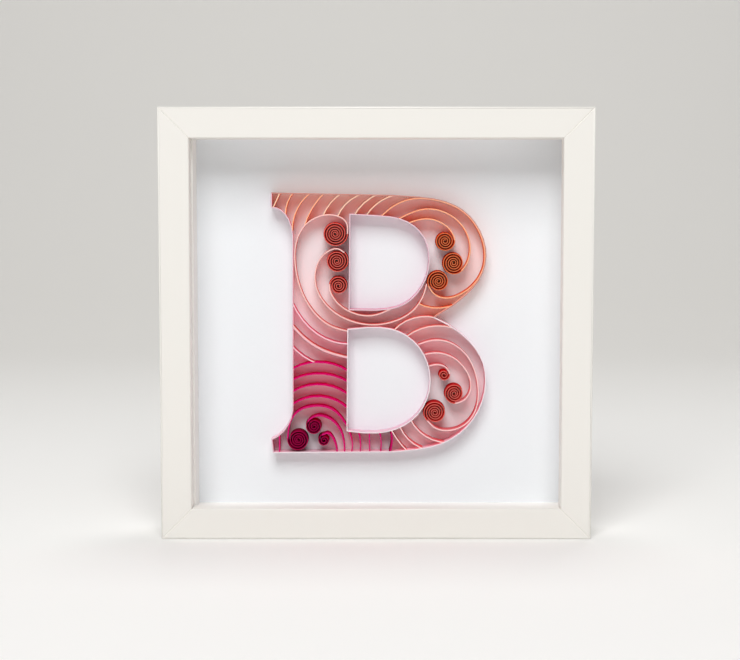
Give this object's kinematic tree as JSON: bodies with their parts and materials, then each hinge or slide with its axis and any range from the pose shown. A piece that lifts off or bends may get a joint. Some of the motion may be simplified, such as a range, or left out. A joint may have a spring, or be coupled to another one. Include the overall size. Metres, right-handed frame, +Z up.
{
  "type": "framed quilled letter",
  "caption": "Capital letter made of coiled and curved paper strips on edge, glued to a white card in a deep square white shadow box frame that stands or hangs.",
  "frame": {"origin": "on the floor, under the middle of the frame", "axes": "+X to the viewer's right, the front faces -Y, +Z up"},
  "size_m": [0.25, 0.045, 0.25],
  "materials": {
    "white_frame": "satin",
    "foam_board": "matte",
    "white_card": "matte",
    "hardboard": "matte",
    "steel": "satin",
    "white_paper": "matte",
    "orange_paper": "matte",
    "coral_paper": "matte",
    "magenta_paper": "matte"
  },
  "bodies": {
    "root": {"backboard": "hardboard", "base_coil_1": "magenta_paper", "base_coil_2": "magenta_paper", "base_coil_3": "magenta_paper", "base_edge_strip": "white_paper", "base_partition_1": "magenta_paper", "base_partition_2": "magenta_paper", "base_partition_3": "magenta_paper", "base_partition_4": "magenta_paper", "base_partition_5": "magenta_paper", "bottom_rail": "white_frame", "bottom_spacer": "foam_board", "bowl_band": "orange_paper", "corner_nails": "steel", "fan_strip_1": "orange_paper", "fan_strip_2": "orange_paper", "fan_strip_3": "orange_paper", "fan_strip_4": "orange_paper", "fan_strip_5": "orange_paper", "fan_strip_6": "orange_paper", "fan_strip_7": "orange_paper", "fan_strip_8": "orange_paper", "hanger_rivets": "steel", "heel_band_1": "magenta_paper", "heel_band_2": "magenta_paper", "heel_band_3": "magenta_paper", "left_rail": "white_frame", "left_spacer": "foam_board", "lower_bowl_coil_1": "coral_paper", "lower_bowl_coil_2": "coral_paper", "lower_bowl_coil_3": "coral_paper", "lower_counter_strip": "white_paper", "mount_card": "white_card", "retaining_points": "steel", "right_rail": "white_frame", "right_spacer": "foam_board", "sawtooth_hanger": "steel", "serif_partition": "magenta_paper", "stem_arch_1": "magenta_paper", "stem_arch_2": "magenta_paper", "stem_arch_3": "magenta_paper", "stem_arch_4": "magenta_paper", "stem_band_1": "coral_paper", "stem_band_2": "coral_paper", "stem_band_3": "coral_paper", "stem_coil_1": "coral_paper", "stem_coil_2": "coral_paper", "stem_coil_3": "coral_paper", "stem_edge_strip": "white_paper", "top_edge_strip": "white_paper", "top_rail": "white_frame", "top_spacer": "foam_board", "upper_bowl_coil_1": "orange_paper", "upper_bowl_coil_2": "orange_paper", "upper_bowl_coil_3": "orange_paper", "upper_counter_strip": "white_paper", "waist_band_1": "coral_paper", "waist_band_2": "coral_paper"}
  },
  "joints": []
}
